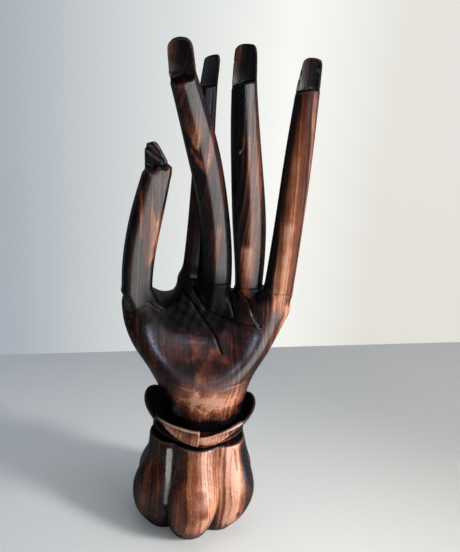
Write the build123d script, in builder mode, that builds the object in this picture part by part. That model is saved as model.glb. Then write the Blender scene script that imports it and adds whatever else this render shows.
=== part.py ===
from build123d import *
import os
from math import cos, radians, sin
from typing import NamedTuple

# A carved display hand, palm to the front (-Y), standing on a lobed foot with a collar of petals.
# Millimetres, +Z up, origin at the middle of the foot's underside.

os.makedirs("parts", exist_ok=True)

# Foot: lobes that swell above the floor and draw in to a neck; the hand-cut block leans a little,
# and side shifts go to the little finger's side
lobe_count = 6
base_height = 53.0
belly_height = 22.0
flank_height = 9.0
shoulder_drop = 10.0
floor_crest, floor_groove = 25.0, 18.0
flank_crest, flank_groove = 31.5, 23.5
belly_crest, belly_groove = 35.0, 26.0
shoulder_crest, shoulder_groove = 27.0, 22.0
neck_crest, neck_groove = 24.5, 20.5
belly_side, shoulder_side, neck_side = 1.0, 1.8, 0.8

# Collar: a short stem that leaves a deep groove above the foot, and a flared cup cut into petals
petal_count = 6
stem_radius = 20.0
stem_height = 4.0
seat_height = 7.0
collar_side = 1.0
cup_play = 3.0
petal_foot_wall = 2.0
petal_spread = 3.4
petal_height = 13.0
petal_thickness = 2.4
petal_flare = 0.9
notch_depth = 7.0
notch_width = 24.0

# Palm: oval sections from the wrist to the knuckles; each rise counts from the section below,
# side shifts go to the little finger's side, back shifts away from the palm
wrist_width, wrist_depth = 40.0, 36.0
wrist_side = 2.5
waist_rise = 11.0
waist_width, waist_depth = 43.0, 37.0
heel_rise = 18.0
heel_width, heel_depth = 54.0, 43.0
heel_side, heel_back = 0.5, -3.5
bowl_rise = 14.0
bowl_width, bowl_depth = 71.0, 42.0
bowl_side, bowl_back = -1.0, -2.5
cup_rise = 12.0
cup_width, cup_depth = 81.0, 37.0
cup_side, cup_back = -1.0, 0.5
knuckle_rise = 9.0
knuckle_width, knuckle_depth = 84.0, 32.0
knuckle_back = 3.0
crown_rise = 5.0
crown_width, crown_depth = 76.0, 23.0
crown_back = 4.0

# Hollow of the palm: part of a large ball that stands in front of the hand, as deep as its floor
hollow_radius = 90.0
hollow_floor = 1.5
hollow_rise = 92.0

# Web between thumb and index finger: a round saddle
web_radius = 9.0
web_place = -20.5
web_drop = 5.0

# Dowels that hold the glued joints
wrist_dowel_radius = 8.0
wrist_dowel_reach = 22.0
digit_dowel_radius = 2.5
digit_dowel_reach = 11.0
glue_gap = 0.05
hole_spare = 0.5

# Digits: a root block let into the palm, a bowed length of flesh, and a nail that runs on past the pad
finger_reach = 118.0
root_depth = 20.0
nail_thickness = 3.4
relief_margin = 4.0


class Digit(NamedTuple):
    """Centre line (root, two pulls, pad, nail tip) above the palm's crown, and widths along it.

    Rises are hundredths of the longest finger's reach, all else hundredths of the knuckles' width.
    """

    name: str
    root: tuple
    root_pull: tuple
    pad_pull: tuple
    pad: tuple
    tip: tuple
    widths: tuple
    roundness: float
    heart: tuple


digits = (
    Digit(
        "thumb",
        root=(-40.1, -8.3, 0.8),
        root_pull=(-41.3, -9.9, 17.8),
        pad_pull=(-35.7, -10.1, 34.3),
        pad=(-31.5, -8.3, 50.4),
        tip=(-36.3, -4.2, 61.4),
        widths=(17.4, 17.9, 17.5, 14.8, 6.0),
        roundness=0.95,
        heart=(-29.8, -3.6),
    ),
    Digit(
        "index_finger",
        root=(-8.9, 11.9, 5.1),
        root_pull=(-6.5, 10.7, 31.8),
        pad_pull=(-8.1, 11.3, 57.6),
        pad=(-7.4, 14.9, 83.5),
        tip=(-6.2, 19.0, 95.8),
        widths=(14.0, 13.0, 12.1, 10.2, 7.1),
        roundness=1.1,
        heart=(-8.3, 8.3),
    ),
    Digit(
        "middle_finger",
        root=(5.1, 1.8, 5.1),
        root_pull=(5.1, 0.0, 34.3),
        pad_pull=(-8.3, -7.1, 61.9),
        pad=(-19.8, -24.6, 86.0),
        tip=(-21.9, -30.4, 98.7),
        widths=(18.3, 16.8, 17.3, 13.8, 9.5),
        roundness=0.92,
        heart=(4.8, 3.6),
    ),
    Digit(
        "ring_finger",
        root=(25.0, 5.4, 3.4),
        root_pull=(23.8, 2.7, 30.1),
        pad_pull=(15.2, 1.9, 58.1),
        pad=(12.0, 4.8, 86.0),
        tip=(11.4, 8.9, 100.0),
        widths=(16.2, 19.2, 17.1, 13.6, 8.9),
        roundness=0.92,
        heart=(21.4, 4.8),
    ),
    Digit(
        "little_finger",
        root=(42.4, -0.6, 3.4),
        root_pull=(44.5, -2.3, 30.5),
        pad_pull=(45.0, -2.0, 58.1),
        pad=(46.8, 2.4, 85.2),
        tip=(48.1, 6.5, 97.0),
        widths=(17.1, 16.2, 15.4, 13.0, 8.9),
        roundness=0.92,
        heart=(32.1, 1.2),
    ),
)

# Sizes that follow from the stack of foot, collar and hand, and from the wrist that the collar holds
collar_top = base_height + stem_height + petal_height
wrist_seat = base_height + seat_height
crown_top = wrist_seat + waist_rise + heel_rise + bowl_rise + cup_rise + knuckle_rise + crown_rise
cup_radius = wrist_width / 2 + wrist_side - collar_side + cup_play
petal_foot_radius = cup_radius + petal_foot_wall
petal_rim_radius = petal_foot_radius + petal_spread
hand_unit = knuckle_width / 100
reach_unit = finger_reach / 100


def polar_point(radius, angle, side=0.0):
    """A point on a circle round an upright axis; angle 0 faces the front."""
    return (side + radius * sin(radians(angle)), -radius * cos(radians(angle)))


def above_crown(point):
    """A point of a digit's centre line in the part's own frame."""
    side, back, rise = point
    return Vector(side * hand_unit, back * hand_unit, crown_top + rise * reach_unit)


def facing_plane(origin, direction):
    """A plane square to a digit's direction, with the digit's palm side at -y."""
    return Plane(origin=origin, x_dir=Vector(0, 1, 0).cross(direction), z_dir=direction)


def digit_sections(digit):
    """Planes and oval sizes from the root of a digit to its pad."""
    with BuildLine() as centre_line:
        Bezier(*[above_crown(p) for p in (digit.root, digit.root_pull, digit.pad_pull, digit.pad)])
    spans = len(digit.widths) - 2
    sections = []
    for step in range(spans + 1):
        share = step / spans
        plane = facing_plane(centre_line.line @ share, centre_line.line % share)
        width = digit.widths[step] * hand_unit
        sections.append((plane, width, width * digit.roundness))
    return sections


with BuildPart() as lotus_base:
    base_levels = (
        (0.0, 0.0, floor_crest, floor_groove),
        (flank_height, 0.0, flank_crest, flank_groove),
        (belly_height, belly_side, belly_crest, belly_groove),
        (base_height - shoulder_drop, shoulder_side, shoulder_crest, shoulder_groove),
        (base_height, neck_side, neck_crest, neck_groove),
    )
    lobe_pitch = 360 / lobe_count
    for level, side, crest, groove in base_levels:
        with BuildSketch(Plane.XY.offset(level)):
            with BuildLine():
                for lobe in range(lobe_count):
                    ThreePointArc(
                        polar_point(groove, (lobe - 0.5) * lobe_pitch, side),
                        polar_point(crest, lobe * lobe_pitch, side),
                        polar_point(groove, (lobe + 0.5) * lobe_pitch, side),
                    )
            make_face()
    loft()
    with Locations((0, 0, base_height)):
        Hole(wrist_dowel_radius + glue_gap, wrist_dowel_reach + hole_spare)


with BuildPart() as lotus_collar:
    stem_top = base_height + stem_height
    petal_middle = stem_top + petal_height / 2
    outer_middle = (petal_foot_radius + petal_rim_radius) / 2 - petal_flare
    rim_inner = petal_rim_radius - petal_thickness
    inner_middle = (cup_radius + rim_inner) / 2 - petal_flare
    collar_axis = Axis((collar_side, 0, 0), (0, 0, 1))
    with BuildSketch(Plane(origin=(collar_side, 0, 0), x_dir=(1, 0, 0), z_dir=(0, -1, 0))):
        with BuildLine():
            Polyline(
                (0, wrist_seat),
                (0, base_height),
                (stem_radius, base_height),
                (stem_radius, stem_top),
                (petal_foot_radius, stem_top),
            )
            ThreePointArc(
                (petal_foot_radius, stem_top),
                (outer_middle, petal_middle),
                (petal_rim_radius, collar_top),
            )
            Line((petal_rim_radius, collar_top), (rim_inner, collar_top))
            ThreePointArc(
                (rim_inner, collar_top),
                (inner_middle, (collar_top + wrist_seat) / 2),
                (cup_radius, wrist_seat),
            )
            Line((cup_radius, wrist_seat), (0, wrist_seat))
        make_face()
    revolve(axis=collar_axis)
    notch_planes = []
    for notch in range(petal_count):
        outward = Vector(*polar_point(1, notch * 360 / petal_count), 0)
        across = Vector(0, 0, 1).cross(outward)
        notch_planes.append(Plane(origin=(collar_side, 0, collar_top), x_dir=across, z_dir=outward))
    with BuildSketch(*notch_planes):
        with BuildLine():
            half_notch = notch_width / 2
            EllipticalCenterArc((half_notch, -notch_depth), half_notch, notch_depth, 90, arc_size=90)
            EllipticalCenterArc((-half_notch, -notch_depth), half_notch, notch_depth, 0, arc_size=90)
            Polyline(
                (half_notch, 0),
                (half_notch, notch_depth),
                (-half_notch, notch_depth),
                (-half_notch, 0),
            )
        make_face()
    extrude(amount=petal_rim_radius + petal_height, mode=Mode.SUBTRACT)
    with Locations((0, 0, wrist_seat)):
        Hole(wrist_dowel_radius + glue_gap)


finger_parts = {}
dowel_parts = {}
for digit in digits:
    sections = digit_sections(digit)
    root_plane = sections[0][0]
    pad_plane, pad_width, pad_depth = sections[-1]
    nail_root = pad_plane.from_local_coords(Vector(0, (pad_depth - nail_thickness) / 2, 0))
    nail_end = above_crown(digit.tip)
    nail_length = (nail_end - nail_root).length
    nail_plane = facing_plane(nail_root, nail_end - nail_root)

    with BuildPart() as finger:
        for plane, width, depth in sections:
            with BuildSketch(plane):
                Ellipse(width / 2, depth / 2)
        with BuildSketch(nail_plane.offset(nail_length)):
            Ellipse(digit.widths[-1] * hand_unit / 2, nail_thickness / 2)
        loft()
        with BuildSketch(nail_plane):
            with Locations((0, -(nail_thickness + pad_depth) / 2)):
                Rectangle(2 * pad_width, pad_depth)
        extrude(amount=nail_length + relief_margin, mode=Mode.SUBTRACT)
        with BuildSketch(root_plane):
            Circle(digit_dowel_radius + glue_gap)
        extrude(amount=digit_dowel_reach + hole_spare, mode=Mode.SUBTRACT)
    finger_parts[digit.name] = finger

    with BuildPart() as dowel:
        with BuildSketch(root_plane):
            Circle(digit_dowel_radius)
        extrude(amount=digit_dowel_reach, both=True)
    dowel_parts[digit.name.split("_")[0] + "_dowel"] = dowel


with BuildPart() as palm:
    palm_levels = (
        (0.0, wrist_side, 0.0, wrist_width, wrist_depth),
        (waist_rise, wrist_side, 0.0, waist_width, waist_depth),
        (heel_rise, heel_side, heel_back, heel_width, heel_depth),
        (bowl_rise, bowl_side, bowl_back, bowl_width, bowl_depth),
        (cup_rise, cup_side, cup_back, cup_width, cup_depth),
        (knuckle_rise, 0.0, knuckle_back, knuckle_width, knuckle_depth),
        (crown_rise, 0.0, crown_back, crown_width, crown_depth),
    )
    level = wrist_seat
    for rise, side, back, width, depth in palm_levels:
        level += rise
        with BuildSketch(Plane.XY.offset(level)):
            with Locations((side, back)):
                Ellipse(width / 2, depth / 2)
    loft()
    with Locations((0, hollow_floor - hollow_radius, wrist_seat + hollow_rise)):
        Sphere(hollow_radius, mode=Mode.SUBTRACT)
    with BuildSketch(Plane.XZ):
        with Locations((web_place, crown_top - web_drop + web_radius)):
            Circle(web_radius)
    extrude(amount=knuckle_depth, both=True, mode=Mode.SUBTRACT)
    for digit in digits:
        root_plane, width, depth = digit_sections(digit)[0]
        heart_side, heart_back = digit.heart
        with BuildSketch(root_plane):
            Ellipse(width / 2, depth / 2)
        with BuildSketch(Plane.XY.offset(root_plane.origin.Z - root_depth)):
            with Locations((heart_side * hand_unit, heart_back * hand_unit)):
                Ellipse(width / 2, depth / 2)
        loft()
    for digit in digits:
        with BuildSketch(digit_sections(digit)[0][0]):
            Circle(digit_dowel_radius + glue_gap)
        extrude(amount=-(digit_dowel_reach + hole_spare), mode=Mode.SUBTRACT)
    with Locations(Plane(origin=(0, 0, wrist_seat), z_dir=(0, 0, -1))):
        Hole(wrist_dowel_radius + glue_gap, wrist_dowel_reach + hole_spare)


with BuildPart() as wrist_dowel:
    with BuildSketch(Plane.XY.offset(base_height - wrist_dowel_reach)):
        Circle(wrist_dowel_radius)
    extrude(amount=2 * wrist_dowel_reach + seat_height)


pieces = {
    "lotus_base": lotus_base,
    "lotus_collar": lotus_collar,
    "palm": palm,
    "wrist_dowel": wrist_dowel,
    **finger_parts,
    **dowel_parts,
}
for name, piece in pieces.items():
    piece.part.label = name
    export_step(piece.part, f"parts/{name}.step")
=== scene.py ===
import math

import bpy
import numpy as np
from mathutils import Matrix, Vector


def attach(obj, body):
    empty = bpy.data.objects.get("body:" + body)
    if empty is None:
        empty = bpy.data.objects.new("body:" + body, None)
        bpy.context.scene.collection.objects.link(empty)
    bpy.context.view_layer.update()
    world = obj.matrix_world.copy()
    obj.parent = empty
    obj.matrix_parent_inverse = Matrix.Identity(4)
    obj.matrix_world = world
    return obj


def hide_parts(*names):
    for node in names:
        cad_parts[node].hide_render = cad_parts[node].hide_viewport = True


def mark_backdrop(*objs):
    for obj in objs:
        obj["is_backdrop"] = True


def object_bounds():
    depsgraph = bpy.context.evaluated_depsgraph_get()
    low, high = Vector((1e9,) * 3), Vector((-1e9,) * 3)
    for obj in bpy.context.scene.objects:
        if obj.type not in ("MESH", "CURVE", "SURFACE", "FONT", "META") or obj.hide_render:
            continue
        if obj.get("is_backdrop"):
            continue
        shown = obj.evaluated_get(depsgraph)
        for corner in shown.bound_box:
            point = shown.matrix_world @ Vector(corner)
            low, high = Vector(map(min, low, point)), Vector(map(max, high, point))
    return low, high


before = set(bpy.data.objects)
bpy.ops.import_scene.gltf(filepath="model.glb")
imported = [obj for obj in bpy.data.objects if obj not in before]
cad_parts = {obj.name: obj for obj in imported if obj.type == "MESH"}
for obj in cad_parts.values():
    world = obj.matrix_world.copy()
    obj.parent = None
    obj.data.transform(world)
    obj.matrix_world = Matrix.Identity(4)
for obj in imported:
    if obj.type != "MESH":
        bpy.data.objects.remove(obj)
cad_low, cad_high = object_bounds()

# Shapes are worked out in millimetres in the part's frame: +Z up, palm to the front (-Y),
# little finger at +X. A shape is a field that is negative inside the wood.
MM = 0.001

# Foot
LOBES = 6
BASE_TOP = 53.0
BASE_LEVELS = (0, 9, 22, 43, 53)
BASE_CRESTS = (25, 31.5, 35, 27, 24.5)
BASE_GROOVES = (18, 23.5, 26, 22, 20.5)
BASE_SIDES = (0, 0, 1, 1.8, 0.8)
SIDE_CRESTS = (0, 0, 0, 1.6, 2.2)
SIDE_GROOVES = (0, 0.6, 2, 2.6, 3)
BACK_CRESTS = (0, 0.6, 2, 3.4, 3.4)
BASE_TOP_EDGE = 0.7
BASE_FOOT_EDGE = 0.8

# Collar
COLLAR_SIDE = 1.0
STEM_RADIUS = 20.0
STEM_TOP = 57.0
WRIST_SEAT = 60.0
STEM_FLOW = 0.6
CUP_RADIUS = 21.6
BOWL_RADIUS = 22.8
BOWL_FLARE = 0.25
BOWL_TOP = 63.0
INNER_RADIUS = 24.2
INNER_TOP = 60.4
PETAL_LEVELS = (56, 60, 64, 68, 72)
PETAL_WALL = (24.2, 25.4, 26.6, 28, 29.6)
EAR_WALL = (22.2, 23, 26.4, 28.4, 29)
PETAL_HALF = 1.15
PETAL_EDGE = 0.9
PETAL_FLOW = 0.4
RIM_PER_DEGREE = 0.45

# Palm
CROWN = 129.0
CROWN_EDGE = 6.0
PALM_LEVELS = (60, 71, 89, 103, 115, 124, 129)
PALM_WIDTHS = (40, 43, 54, 71, 80.6, 83.1, 76)
PALM_DEPTHS = (36, 37, 43, 42, 37, 32, 23)
PALM_SIDES = (2.5, 2.5, 0.5, -1, -1, 0, 0)
PALM_BACKS = (0, 0, -3.5, -2.5, 0.5, 3, 4)
HOLLOW_CENTRE = (0, -88.5, 152)
HOLLOW_RADIUS = 90.0
HOLLOW_EDGE = 5.0
WEB_CENTRE = (-20.5, 132)
WEB_RADIUS = 9.5
WEB_EDGE = 2.0

# Cuts: how they fade out towards the back, the creases at the joints, and the gouge marks
CUT_FADE = 4.0
DIGIT_CUT_BACK = 2.0
PALM_CUT_BACK = 6.0
CREASE_WIDTH = 0.9
CREASE_BACK = 1.0
CREASE_FADE = 5.0
GOUGE_DEPTH = 0.3
GOUGE_PLACE = (-4, 121)
GOUGE_SPREAD = (17, 9)

# Dowel holes
WRIST_HOLE = (8.05, 30.5, 82.5)
DIGIT_HOLE = (2.55, 11.5)

# Digits
HAND_UNIT = 0.84
REACH_UNIT = 1.18
ROOT_DEPTH = 20.0
NAIL_THICKNESS = 3.4
NAIL_HALF = 5.0
NAIL_FLOW = 0.8
BOW_POINTS = 25
TIP_POINTS = 18
TIP_DEPTH = 0.8
TIP_EDGE = 1.5
BLUNT_START = 10
BLUNT_CURVE = 0.25
THINNEST = 0.2
FACET_EDGE = 18.0
FACET_SIZE = 1.02
ROOT_POINTS = 10
ROOT_RISE = 22.0
JOINT_PLAY = 0.02
LAP_SINK = 0.06


def smooth_curve(knots, values):
    """A smooth curve through a few values, read at any place between the knots."""
    knots = np.array(knots, float)
    values = np.array(values, float)
    slopes = np.gradient(values, knots)

    def read(place):
        index = np.clip(np.searchsorted(knots, place) - 1, 0, len(knots) - 2)
        span = knots[index + 1] - knots[index]
        t = np.clip((place - knots[index]) / span, 0.0, 1.0)
        start = (1 + 2 * t) * (1 - t) ** 2 * values[index]
        end = t * t * (3 - 2 * t) * values[index + 1]
        lean = t * (1 - t) ** 2 * slopes[index] - t * t * (1 - t) * slopes[index + 1]
        return start + end + span * lean

    return read


def melt(first, second, reach):
    """Both shapes together, flowing into each other over the reach."""
    share = np.clip(0.5 + 0.5 * (second - first) / reach, 0.0, 1.0)
    return second + (first - second) * share - reach * share * (1 - share)


def trim(first, second, reach):
    """What both shapes share, with an edge rounded over the reach."""
    return -melt(-first, -second, reach)


def line_distance(across, up, points):
    """Distance from flat places to a line of points."""
    nearest = np.full(across.shape, np.inf)
    for (x0, z0), (x1, z1) in zip(points, points[1:]):
        dx, dz = x1 - x0, z1 - z0
        share = np.clip(((across - x0) * dx + (up - z0) * dz) / (dx * dx + dz * dz), 0.0, 1.0)
        nearest = np.minimum(nearest, np.hypot(across - x0 - share * dx, up - z0 - share * dz))
    return nearest


def cut_lines(body, p, lines, behind):
    """The shape with lines cut into its front: a depth, a width and places across and up for each."""
    front = np.clip((behind + CUT_FADE / 2 - p[:, 1]) / CUT_FADE, 0.0, 1.0)
    for depth, width, points in lines:
        away = line_distance(p[:, 0], p[:, 2], points) / width
        body = body + depth * front * np.exp(-(away**2))
    return body


class Digit:
    """A finger or thumb: a bowed, lightly faceted rod with a nail plate that runs past the pad.

    The rod starts at the heart inside the palm, runs from root to pad, bent by the pulls, and on to the tip.
    Turns are its facets' angles at both ends; flat draws the front facet in. Web is how far the root flows
    into the palm; crease and lap shape the joint. Step is the ledge below the nail: height, slant, bevel and
    dish; edge, ragged and arch shape it too. Plate is the wood behind it, and corner is the slanting cut at
    the tip's left: its slope and where it starts.
    """

    def __init__(
        self, name, root, root_pull, pad_pull, pad, tip, widths, roundness, heart, turns, web, step, plate,
        taper=0.88, flat=1.0, crease=0.5, lap=0.0, edge=0.5,
        ragged=0.15, arch=0.8, corner=(0.5, -2.0), cuts=(),
    ):
        self.name = name
        self.web = web
        self.step = step
        self.plate = plate
        self.flat = flat
        self.crease = crease
        self.lap = lap
        self.edge = edge
        self.ragged = ragged
        self.arch = arch
        self.corner = corner
        self.cuts = cuts
        root, root_pull, pad_pull, pad, tip = (
            np.array((x * HAND_UNIT, y * HAND_UNIT, CROWN + z * REACH_UNIT))
            for x, y, z in (root, root_pull, pad_pull, pad, tip)
        )
        widths = np.array(widths) * HAND_UNIT
        shares = np.linspace(0.0, 1.0, BOW_POINTS)
        rest = 1 - shares
        bow = (
            np.outer(rest**3, root)
            + np.outer(3 * rest**2 * shares, root_pull)
            + np.outer(3 * rest * shares**2, pad_pull)
            + np.outer(shares**3, pad)
        )
        half_width = smooth_curve((0, 1 / 3, 2 / 3, 1), widths / 2)(shares)
        half_depth = half_width * roundness
        self.root = root
        self.axis = (root_pull - root) / np.linalg.norm(root_pull - root)

        # The nail runs on behind the pad; the uncut tip round it keeps the same back line
        end = bow[-1] - bow[-2]
        pad_axis = end / np.linalg.norm(end)
        back = np.array((0.0, 1.0, 0.0)) - pad_axis * pad_axis[1]
        back /= np.linalg.norm(back)
        self.nail_root = pad + back * (half_depth[-1] - NAIL_THICKNESS / 2)
        nail = tip - self.nail_root
        self.nail_length = np.linalg.norm(nail)
        self.nail_axis = nail / self.nail_length
        self.nail_side = np.cross((0.0, 1.0, 0.0), self.nail_axis)
        self.nail_side /= np.linalg.norm(self.nail_side)
        self.nail_back = np.cross(self.nail_axis, self.nail_side)
        tip_depth = half_depth[-1] * TIP_DEPTH
        crown = tip - self.nail_back * (tip_depth - NAIL_THICKNESS / 2)
        climb = 1 - (1 - np.linspace(0.0, 1.0, TIP_POINTS)[1:]) ** 2
        tip_line = pad + np.outer(climb, crown - pad)
        blunt = np.maximum(1 - climb**BLUNT_START, 0.0) ** BLUNT_CURVE
        tip_width = half_width[-1] * (1 - climb * (1 - taper))
        tip_width = np.maximum(tip_width * blunt, THINNEST)
        tip_depths = half_depth[-1] + climb * (tip_depth - half_depth[-1])
        tip_depths = np.maximum(tip_depths * blunt, THINNEST)

        foot = np.array((heart[0] * HAND_UNIT, heart[1] * HAND_UNIT, root[2] - ROOT_DEPTH))
        self.points = np.vstack((foot, bow, tip_line))
        self.half_width = np.concatenate((half_width[:1], half_width, tip_width))
        self.half_depth = np.concatenate((half_depth[:1], half_depth, tip_depths))
        ways = np.gradient(self.points, axis=0)
        ways /= np.linalg.norm(ways, axis=1)[:, None]
        self.ways = ways
        self.side = np.cross((0.0, 1.0, 0.0), ways)
        self.side /= np.linalg.norm(self.side, axis=1)[:, None]
        self.back = np.cross(ways, self.side)
        self.turn = np.radians(np.linspace(turns[0], turns[1], len(self.points)))

    def rod(self, p, count=None):
        """The whole rod, or its first few points, without nail, joint or hole."""
        start = self.points[:count][:-1]
        run = np.diff(self.points[:count], axis=0)
        length2 = (run**2).sum(1)
        along = (p @ run.T - (start * run).sum(1)) / length2
        share = np.clip(along, 0.0, 1.0)
        gap2 = (p**2).sum(1)[:, None] - 2 * p @ start.T + (start**2).sum(1)
        gap2 = gap2 + length2 * share * (share - 2 * along)
        nearest = gap2.argmin(1)
        t = np.take_along_axis(share, nearest[:, None], 1)

        def between(values):
            values = values.reshape(len(self.points), -1)
            return values[nearest] * (1 - t) + values[nearest + 1] * t

        off = p - between(self.points)
        wide = between(self.half_width)[:, 0]
        deep = between(self.half_depth)[:, 0]
        x = (off * between(self.side)).sum(1) / wide
        y = (off * between(self.back)).sum(1) / deep
        turn = between(self.turn)[:, 0]
        norm = np.zeros(len(p))
        for quarter in range(4):
            angle = turn + quarter * math.pi / 4
            norm += np.abs(x * np.sin(angle) - y * np.cos(angle)) ** FACET_EDGE
        if self.flat < 1:
            norm += np.maximum((x * np.sin(turn) - y * np.cos(turn)) / self.flat, 0.0) ** FACET_EDGE
        norm = FACET_SIZE * norm ** (1 / FACET_EDGE)
        past_tip = (p - self.points[-1]) @ self.ways[-1]
        past_foot = (self.points[0] - p) @ self.ways[0]
        return np.maximum((norm - 1) * np.minimum(wide, deep), np.maximum(past_tip, past_foot))

    def above_joint(self, p):
        """Height over the joint with the palm."""
        return (p - self.root) @ self.axis

    def hole(self, p):
        """The dowel hole across the joint."""
        off = p - self.root
        along = off @ self.axis
        radius, reach = DIGIT_HOLE
        out = np.sqrt(np.maximum((off**2).sum(1) - along**2, 0.0))
        return np.maximum(out - radius, np.abs(along) - reach)

    def relief(self, p):
        """How far a place lies inside the wood that is cut away in front of the nail."""
        off = p - self.nail_root
        across = off @ self.nail_side
        deep = off @ self.nail_back
        along = off @ self.nail_axis
        rise, slant, bevel, dish = self.step
        floor = NAIL_THICKNESS / 2 - self.plate + dish * (1 - (across / NAIL_HALF) ** 2)
        wall = rise + slant * across + bevel * (deep - floor) - self.arch * (across / NAIL_HALF) ** 2
        wall = wall + self.ragged * np.sin(1.1 * across + 8 * rise + 20 * slant)
        return melt(along - wall, floor - deep, NAIL_FLOW)

    def past_corner(self, p):
        """How far a place lies past the slanting cut that takes off the tip's left corner."""
        off = p - self.nail_root
        slope, start = self.corner
        return off @ self.nail_axis - self.nail_length - slope * (off @ self.nail_side - start)

    def field(self, p):
        """The digit above its joint, with nail, cuts and dowel hole."""
        rise = self.above_joint(p)
        body = self.rod(p)
        body = trim(body, self.relief(p), self.edge)
        body = trim(body, self.past_corner(p), TIP_EDGE)
        near = rise < ROOT_RISE
        body[near] = melt(palm_body(p[near]), body[near], self.web)
        body = cut_lines(body, p, self.cuts, self.points[:, 1].mean() + DIGIT_CUT_BACK)
        body = body + root_cut(rise, p, self.crease) + JOINT_PLAY
        body = body + LAP_SINK * np.minimum(rise, 0.0) ** 2
        body = np.maximum(body, -rise - self.lap)
        return np.maximum(body, -self.hole(p))


digits = (
    Digit(
        "thumb",
        root=(-40.1, -8.3, 0.8), root_pull=(-41.3, -9.9, 17.8),
        pad_pull=(-35.7, -10.1, 34.3), pad=(-31.5, -8.3, 50.4), tip=(-36.3, -4.2, 61.4),
        widths=(17.4, 17.9, 17.7, 15.4), roundness=0.95,
        heart=(-29.8, -3.6), turns=(20, 22), web=3,
        step=(2.6, -0.1, 0.15, 0.3), plate=6,
        taper=0.45, flat=0.72, crease=0, lap=2.5, edge=2.2, ragged=0.5, arch=0, corner=(0, 0),
        cuts=(
            (0.8, 0.6, ((-32.6, 199), (-29.4, 196.2), (-22.3, 191.8))),
            (0.5, 0.5, ((-31.2, 201.5), (-26.6, 197))),
            (0.5, 0.5, ((-31.5, 192), (-28, 190.2))),
        ),
    ),
    Digit(
        "index_finger",
        root=(-8.9, 11.9, 5.1), root_pull=(-6.5, 10.7, 31.8),
        pad_pull=(-8.1, 11.3, 57.6), pad=(-7.4, 14.9, 83.5), tip=(-6.2, 19, 95.8),
        widths=(14, 13, 12.1, 10.2), roundness=1.1,
        heart=(-8.3, 8.3), turns=(2, 2), web=13,
        step=(0, 0.25, 0.08, 0.7), plate=4.4, corner=(0.5, 1),
    ),
    Digit(
        "middle_finger",
        root=(5.1, 1.8, 5.1), root_pull=(5.1, 0, 34.3),
        pad_pull=(-8.3, -7.1, 61.9), pad=(-19.8, -24.6, 86), tip=(-21.9, -30.4, 98.7),
        widths=(18.3, 16.8, 17.3, 13.8), roundness=0.92,
        heart=(4.8, 3.6), turns=(16, 24), web=3,
        step=(0, 0.3, 0.08, 0.9), plate=4.8,
        cuts=(
            (0.5, 0.4, ((0.4, 165.2), (1.6, 166.4), (2.7, 163.6), (3.9, 166.6), (4.8, 165.6), (5.4, 163.4))),
        ),
    ),
    Digit(
        "ring_finger",
        root=(25, 5.4, 3.4), root_pull=(23.8, 2.7, 30.1),
        pad_pull=(15.2, 1.9, 58.1), pad=(12, 4.8, 86), tip=(11.4, 8.9, 100),
        widths=(16.2, 19.2, 17.1, 13.6), roundness=0.92,
        heart=(21.4, 4.8), turns=(16, 34), web=2,
        step=(0, 0.35, 0.08, 0.9), plate=4.8,
        cuts=((0.8, 0.8, ((11.2, 199), (12.4, 200.2))),),
    ),
    Digit(
        "little_finger",
        root=(42.4, -0.6, 3.4), root_pull=(44.5, -2.3, 30.5),
        pad_pull=(45, -2, 58.1), pad=(46.8, 2.4, 85.2), tip=(48.1, 6.5, 97),
        widths=(17.1, 16.2, 15.4, 13), roundness=0.92,
        heart=(32.1, 1.2), turns=(20, 30), web=6,
        step=(0, 0.3, 0.08, 0.9), plate=4.6, taper=0.80,
    ),
)


def wrist_hole(p):
    """The dowel hole up through foot, collar and wrist."""
    radius, low, high = WRIST_HOLE
    return np.maximum(np.hypot(p[:, 0], p[:, 1]) - radius, np.maximum(low - p[:, 2], p[:, 2] - high))


base_crest = smooth_curve(BASE_LEVELS, BASE_CRESTS)
base_groove = smooth_curve(BASE_LEVELS, BASE_GROOVES)
base_side = smooth_curve(BASE_LEVELS, BASE_SIDES)
side_crest = smooth_curve(BASE_LEVELS, SIDE_CRESTS)
side_groove = smooth_curve(BASE_LEVELS, SIDE_GROOVES)
back_crest = smooth_curve(BASE_LEVELS, BACK_CRESTS)


def base_field(p):
    """Six round lobes side by side, swelling above the floor."""
    height = np.clip(p[:, 2], 0.0, BASE_TOP)
    x = p[:, 0] - base_side(height)
    radius = np.hypot(x, p[:, 1])
    aside = (x / np.maximum(radius, 1.0)) ** 2
    behind = aside * np.clip(2 * p[:, 1] / np.maximum(radius, 1.0), 0.0, 1.0)
    crest = base_crest(height) + aside * side_crest(height) - behind * back_crest(height)
    groove = base_groove(height) + aside * side_groove(height)
    groove = np.minimum(groove, crest - 1.0)
    pitch = 2 * math.pi / LOBES
    angle = np.arctan2(x, -p[:, 1])
    fold = np.abs((angle + pitch / 2) % pitch - pitch / 2)
    middle = (crest**2 - groove**2) / (2 * (crest - groove * math.cos(pitch / 2)))
    lobe = np.hypot(radius * np.cos(fold) - middle, radius * np.sin(fold)) - (crest - middle)
    body = np.minimum(lobe, radius - groove + 1)
    body = trim(body, p[:, 2] - BASE_TOP, BASE_TOP_EDGE)
    body = trim(body, -p[:, 2], BASE_FOOT_EDGE)
    return np.maximum(body, -wrist_hole(p))


petal_wall = smooth_curve(PETAL_LEVELS, PETAL_WALL)
ear_wall = smooth_curve(PETAL_LEVELS, EAR_WALL)

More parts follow.
